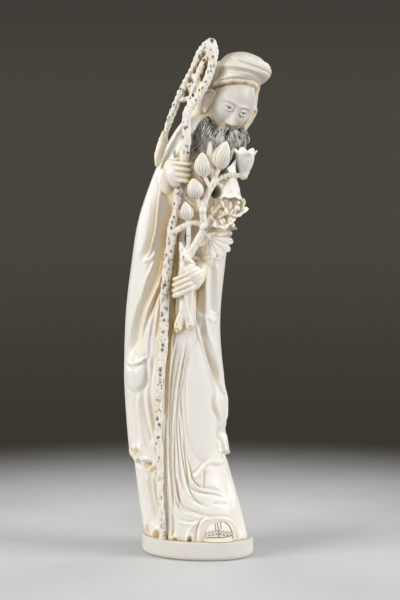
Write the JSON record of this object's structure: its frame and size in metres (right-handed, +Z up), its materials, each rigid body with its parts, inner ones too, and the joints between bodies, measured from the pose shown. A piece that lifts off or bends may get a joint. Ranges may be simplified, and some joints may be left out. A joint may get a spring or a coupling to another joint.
{
  "type": "ivory tusk carving",
  "caption": "Standing robed elder carved from a curved tusk, holding a gnarled staff and a flowering branch, pegged to a plain oval plinth.",
  "frame": {"origin": "on the plinth's flat underside, below the plinth's middle", "axes": "+Z up through the figure, -Y the side that the face and the flowers look to, +X to the viewer's right"},
  "size_m": [0.14, 0.0966, 0.4757],
  "materials": {
    "carved_ivory": "hand-polished, cream, with amber toning in the deep folds",
    "plinth_ivory": "hand-polished, plain",
    "pitted_ivory": "carved bark with inked pits",
    "flower_ivory": "hand-polished, with fine cut veins",
    "stained_beard": "cut strands, stained dark, worn pale on the ridges",
    "peg_ivory": "turned, unpolished"
  },
  "bodies": {
    "root": {"plinth_dowel_left": "peg_ivory", "plinth_dowel_right": "peg_ivory", "head_dowel": "peg_ivory", "upper_hand_dowel": "peg_ivory", "lower_hand_dowel": "peg_ivory", "staff_pin_lower": "peg_ivory", "staff_pin_upper": "peg_ivory", "pulp_cavity_plug": "peg_ivory", "plinth": "plinth_ivory", "staff_lower": "pitted_ivory", "staff_middle": "pitted_ivory", "staff_crook": "pitted_ivory", "staff_pendant": "pitted_ivory", "branch_stem": "pitted_ivory", "upper_hand": "carved_ivory", "lower_hand": "carved_ivory", "head": "carved_ivory", "bud_1": "flower_ivory", "bud_2": "flower_ivory", "bud_3": "flower_ivory", "bud_4": "flower_ivory", "bud_5": "flower_ivory", "blossom_1": "flower_ivory", "blossom_2": "flower_ivory", "blossom_3": "flower_ivory", "blossom_4": "flower_ivory", "leaf_spray": "flower_ivory", "beard": "stained_beard", "cap": "carved_ivory", "shoe": "carved_ivory", "robe_body": "carved_ivory"}
  },
  "joints": []
}
